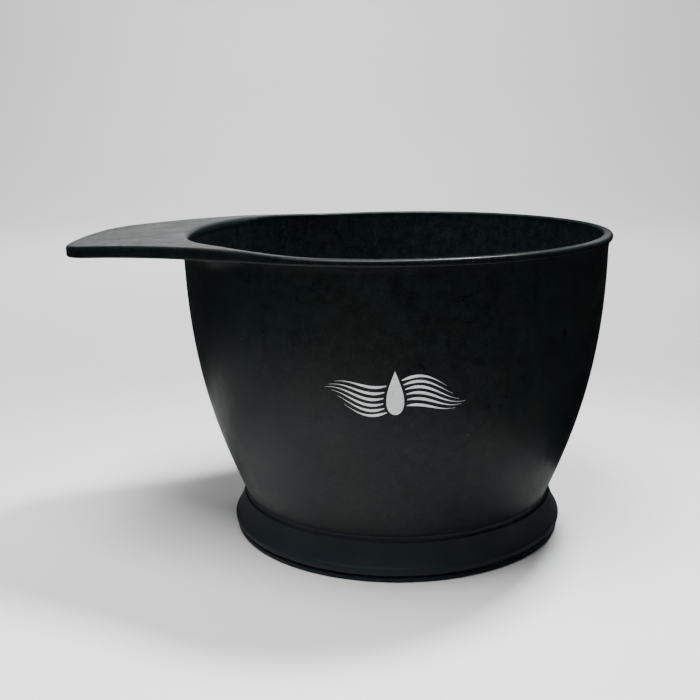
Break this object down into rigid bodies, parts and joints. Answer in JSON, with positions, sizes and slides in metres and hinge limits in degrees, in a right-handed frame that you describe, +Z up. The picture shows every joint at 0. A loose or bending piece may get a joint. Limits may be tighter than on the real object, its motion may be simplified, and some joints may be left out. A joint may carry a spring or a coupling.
{
  "type": "hair colour mixing bowl",
  "caption": "Deep round mixing bowl with a wide flat thumb rest on its lip and a flared non-slip rubber foot ring.",
  "frame": {"origin": "on the bowl's axis, at the surface it stands on", "axes": "+Z up along the bowl's axis; the thumb rest points along -X; the XZ plane is the plane of symmetry"},
  "size_m": [0.156, 0.125, 0.0894],
  "materials": {
    "black_polypropylene": "satin",
    "black_rubber": "matte",
    "pale_print_ink": "satin"
  },
  "bodies": {
    "root": {"bowl_shell": "black_polypropylene", "non_slip_ring": "black_rubber"}
  },
  "joints": []
}
